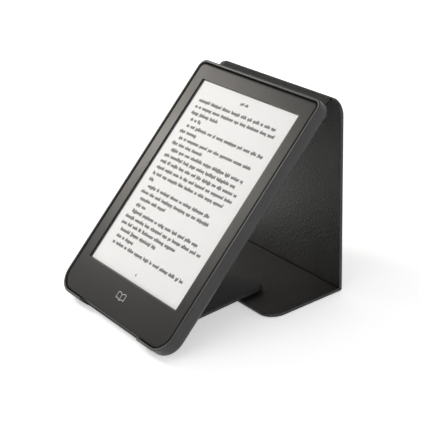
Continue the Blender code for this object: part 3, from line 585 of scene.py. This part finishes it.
edge_y = tray_high.y - TRAY_EDGE_R
edge_z = tray_low.z + TRAY_EDGE_R
wrap_r = TRAY_EDGE_R + 0.45 * MM
wrap = [in_world(READER, edge_y - 5 * MM, skin_low.z + 0.25 * MM)]
wrap += [in_world(READER, edge_y + wrap_r * math.cos(angle), edge_z + wrap_r * math.sin(angle))
         for angle in quarter(3, -80.0, -47.0)]
leave = wrap[-1]
sag = (spine_axis.y + 2.3 * MM, spine_axis.z - 2.5 * MM)
top_r = 0.75 * MM
top = (lid_axis.y - 0.40 * MM, lid_axis.z - 0.35 * MM)
bend = [(top[0] + top_r * math.cos(angle), top[1] + top_r * math.sin(angle))
        for angle in quarter(7, 110.0, -5.0)]
inside = in_world(UPPER, 5.0 * MM, 0.15 * MM)
whole = smooth_path(wrap + [sag] + bend + [inside])
split = min(range(len(whole)), key=lambda index: math.dist(whole[index], sag))
half_w = spine_high.x
cloth_half = half_w - LINING_INSET
for name, cloth, path, bodies, start, end, node in (
        ("spine_wrap", False, whole[:split + 1], ("reader", "spine"), leave, sag, "hinge_wrap"),
        ("spine_fold", False, whole[split:], ("spine", "lid_upper"), bend[0], bend[-1],
         "spine_skin"),
        ("spine_fold_cloth", True, whole[split:], ("spine", "lid_upper"), bend[0], bend[-1],
         "spine_lining"),
        ("spine_wrap_cloth", True, whole[split - 4:split + 1], ("reader", "spine"), leave, sag,
         None)):
    line = shifted(path, 0.2 * MM if cloth else -0.55 * MM)
    made = ribbon(name, line, (0.35 if cloth else 1.0) * MM, cloth_half if cloth else half_w,
                  Matrix.Identity(4), LINING if cloth else LEATHER)
    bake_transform(made)
    if node:
        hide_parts(node)

fold_r = 0.7 * MM
flap_start = tilt + math.pi / 2
flap_end = tilt - math.radians(joints["flap_hinge"]["range_deg"][1]) + 1.5 * math.pi
flap_bend = [(flap_axis.y + fold_r * math.cos(angle), flap_axis.z + fold_r * math.sin(angle))
             for angle in quarter(8, math.degrees(flap_start), math.degrees(flap_end))]
flap_path = ([in_world(READER, flap_reach * MM, skin_low.z + 0.22 * MM)
              for flap_reach in (-70.0, -74.0)] + flap_bend
             + [in_world(FLAP, reach_y * MM, -0.75 * MM) for reach_y in (2.5, 6.0)])
flap_fold = ribbon("flap_fold", shifted(smooth_path(flap_path, 3), -0.25 * MM), 0.5 * MM,
                   flap_high.x - 0.4 * MM, Matrix.Identity(4), LEATHER)
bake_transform(flap_fold)

FOLD_SINK = 0.1 * MM    # the crease fold lies this far towards the lined side
crease_path = smooth_path([in_world(UPPER, span - 6 * MM, FOLD_SINK),
                           in_world(UPPER, span - 2.6 * MM, FOLD_SINK),
                           in_world(LOWER, 2.6 * MM, -half_lid_t + FOLD_SINK),
                           in_world(LOWER, 6.0 * MM, -half_lid_t + FOLD_SINK)], 6)
# the fold across the crease, in the leather darkened as painted shade
crease = ribbon("crease_fold", shifted(crease_path, -0.5 * MM), 1.0 * MM,
                upper_high.x - 0.5 * MM, Matrix.Identity(4), CREASE_PAINTED_SHADE)
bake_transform(crease)


# ---------------------------------------------------------------- page and mark
BORDER_X = 3.6 * MM
BORDER_Y = 3.0 * MM
BORDER_Z = (0.074, 0.112)    # mm above the reader frame's origin, as are the next two
PRINT_Z = (0.072, 0.1)
MARK_Z = (1.09, 1.115)
MARK_LINE = 0.42
MARK_DROP = 71.0
active_half = Vector((ACTIVE_W / 2, ACTIVE_H / 2, 0.0))
frame_half = active_half + Vector((BORDER_X, BORDER_Y, 0.0))
square = (0.1 * MM,) * 4
# A dark band round the page, under the bezel's opening: partly the panel's real dark gasket,
# partly painted shade from the bezel's lip on the page edge.
border_loops = [inset_loop(-half, half, square, 0.0, z * MM, 0.0)
                for half, z in ((frame_half, BORDER_Z[0]), (frame_half, BORDER_Z[1]),
                                (active_half, BORDER_Z[1]), (active_half, BORDER_Z[0]))]
gasket_and_shade = loft("page_gasket_and_shade", border_loops, READER, BLACK, closed_ring=True)
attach(gasket_and_shade, "reader")


def strokes(name, segments, heights, place, finish):
    """Thin closed bars between two heights; each is (x0, y0, x1, y1, width), all in mm."""
    points = []
    faces = []
    for x0, y0, x1, y1, width in segments:
        run = Vector((x1 - x0, y1 - y0)).normalized() * (width / 2)
        side = Vector((-run.y, run.x))
        base_index = len(points)
        for z in heights:
            for x, y in ((x0 - side.x, y0 - side.y), (x1 - side.x, y1 - side.y),
                         (x1 + side.x, y1 + side.y), (x0 + side.x, y0 + side.y)):
                points.append((x * MM, y * MM, z * MM))
        for face in ((3, 2, 1, 0), (4, 5, 6, 7), (0, 1, 5, 4), (1, 2, 6, 5), (2, 3, 7, 6),
                     (3, 0, 4, 7)):
            faces.append(tuple(base_index + corner for corner in face))
    mesh = bpy.data.meshes.new(name)
    mesh.from_pydata(points, [], faces)
    mesh.transform(place)
    mesh.materials.append(finish)
    made = bpy.data.objects.new(name, mesh)
    bpy.context.scene.collection.objects.link(made)
    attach(made, "reader")
    return made


LINE_TOP = 49.08
LINE_STEP = 4.186
LEFT_MARGIN = -39.5
INDENT = 3.1
LINE_ENDS = ((36.1, 0), (38.3, 0), (-12.3, 0), (-25.5, 1), (39.2, 1), (-19.3, 0), (36.3, 1),
             (-8.0, 0), (38.3, 1), (34.8, 0), (38.2, 0), (37.3, 0), (32.7, 0), (-33.5, 0),
             (30.4, 1), (33.6, 0), (-8.5, 1), (-25.8, 1), (33.8, 1), (39.2, 0), (18.2, 0),
             (4.2, 1), (-17.9, 1), (38.6, 1))


def word_block(x, y, size, draw):
    """One solid block of a word's silhouette: blocks touch, so no letter shape is drawn."""
    width = draw.uniform(0.4, 0.62) * size
    tall = draw.choice((0.9, 1.0, 1.0, 1.4, 0.95, 1.0)) * size
    foot = -0.35 * size if draw.random() < 0.1 else 0.0
    return (x + width / 2, y + foot, x + width / 2, y + tall, width), width


def print_line(x, end, y, size, draw):
    bars = []
    while x < end:
        for _ in range(draw.choice((3, 5, 6, 7, 9, 10, 12, 14))):
            if x + 0.7 * size > end:
                break
            block, step = word_block(x, y, size, draw)
            bars.append(block)
            x += step
        x += 0.8 * size
        if end - x < 1.6 * size:
            break
    return bars


draw = random.Random(6)
page_bars = print_line(-3.7, 4.8, 55.1, 1.3, draw) + print_line(-0.9, 1.2, -57.6, 1.4, draw)
for number, (end, indented) in enumerate(LINE_ENDS):
    page_bars += print_line(LEFT_MARGIN + INDENT * indented, end, LINE_TOP - LINE_STEP * number
                            - 0.8, 1.6, draw)
page = strokes("page_print", page_bars, PRINT_Z, READER, INK)

book = [(-3.9, 1.6, -3.9, -2.0, MARK_LINE), (3.9, 1.6, 3.9, -2.0, MARK_LINE),
        (0, 0.9, 0, -2.7, MARK_LINE)]
for sign in (-1, 1):
    for bottom in (0.0, -3.6):
        arch = [(sign * (0.1 + 3.8 * step / 6), 0.9 + bottom + 0.95 * math.sin(step / 6 * 2.5))
                for step in range(7)]
        book += [(x0, y0, x1, y1, MARK_LINE) for (x0, y0), (x1, y1) in zip(arch, arch[1:])]
mark = strokes("book_mark", [(x0, y0 - MARK_DROP, x1, y1 - MARK_DROP, width)
                             for x0, y0, x1, y1, width in book], MARK_Z, READER, MARK)

# ---------------------------------------------------------------- studio
bpy.context.scene.view_settings.view_transform = "Standard"


def stage_finish():
    made = finish_of("studio_floor", tone(250), tone(252), 0.9, 40, 0.00001, specular=0.05)
    shader = made.node_tree.nodes["Principled BSDF"]
    shader.inputs["Emission Color"].default_value = (1.0, 1.0, 1.0, 1.0)
    shader.inputs["Emission Strength"].default_value = 0.42
    return made


FLOOR_HALF = 6.0
floor_mesh = bpy.data.meshes.new("floor")
floor_mesh.from_pydata([(-FLOOR_HALF, -FLOOR_HALF, 0), (FLOOR_HALF, -FLOOR_HALF, 0),
                        (FLOOR_HALF, FLOOR_HALF, 0), (-FLOOR_HALF, FLOOR_HALF, 0)], [],
                       [(0, 1, 2, 3)])
floor_mesh.materials.append(stage_finish())
floor = bpy.data.objects.new("studio_floor", floor_mesh)
floor.location.z = cad_box[0][2] - 0.0002
bpy.context.scene.collection.objects.link(floor)

WALL_R = 5.9
WALL_TOP = 2.2
WALL_SIDES = 48
ring = [(WALL_R * math.cos(angle), WALL_R * math.sin(angle), z) for z in (-0.01, WALL_TOP)
        for angle in (2 * math.pi * side / WALL_SIDES for side in range(WALL_SIDES))]
wall_mesh = bpy.data.meshes.new("studio_wall")
wall_mesh.from_pydata(ring, [], [(side, (side + 1) % WALL_SIDES,
                                  WALL_SIDES + (side + 1) % WALL_SIDES, WALL_SIDES + side)
                                 for side in range(WALL_SIDES)])
wall_finish = stage_finish()
wall_finish.name = "studio_wall"
wall_finish.node_tree.nodes["Principled BSDF"].inputs["Emission Strength"].default_value = 0.8
wall_mesh.materials.append(wall_finish)
wall = bpy.data.objects.new("studio_wall", wall_mesh)
bpy.context.scene.collection.objects.link(wall)

world = bpy.data.worlds.new("studio")
world.use_nodes = True
world.node_tree.nodes["Background"].inputs["Color"].default_value = (1, 1, 1, 1)
world.node_tree.nodes["Background"].inputs["Strength"].default_value = 0.27
bpy.context.scene.world = world

centre = (cad_box[0] + cad_box[1]) / 2


def soft_light(name, direction, distance, size, power, colour=(1.0, 1.0, 1.0)):
    lamp = bpy.data.lights.new(name, "AREA")
    lamp.shape = "RECTANGLE"
    lamp.size = size[0]
    lamp.size_y = size[1]
    lamp.energy = power
    lamp.color = colour
    made = bpy.data.objects.new(name, lamp)
    toward = Vector(direction).normalized()
    made.location = centre + toward * distance
    made.rotation_euler = toward.to_track_quat("Z", "Y").to_euler()
    bpy.context.scene.collection.objects.link(made)


soft_light("left_softbox", direction=(-0.848, -0.250, 0.472), distance=0.77,
           size=(0.18, 0.18), power=3.0, colour=(1.0, 0.95, 0.88))
soft_light("right_softbox", direction=(0.95, -0.15, 0.35), distance=1.1, size=(0.5, 0.4),
           power=1.7)
soft_light("top_softbox", direction=(0.0, -0.1, 1.0), distance=1.2, size=(1.2, 1.2),
           power=3.4)

camera_data = bpy.data.cameras.new("camera")
camera_data.sensor_width = 36.0
camera_data.lens = 112.40
camera_data.clip_start = 0.01
camera = bpy.data.objects.new("camera", camera_data)
view_right = Vector((0.5561, 0.8245, -0.1044))
view_up = Vector((-0.2857, 0.3076, 0.9076))
view_ahead = Vector((-0.7805, 0.4749, -0.4066))
camera.matrix_world = Matrix((view_right, view_up, -view_ahead)).transposed().to_4x4()
camera.location = (0.5818, -0.3438, 0.3491)
bpy.context.scene.collection.objects.link(camera)
bpy.context.scene.camera = camera
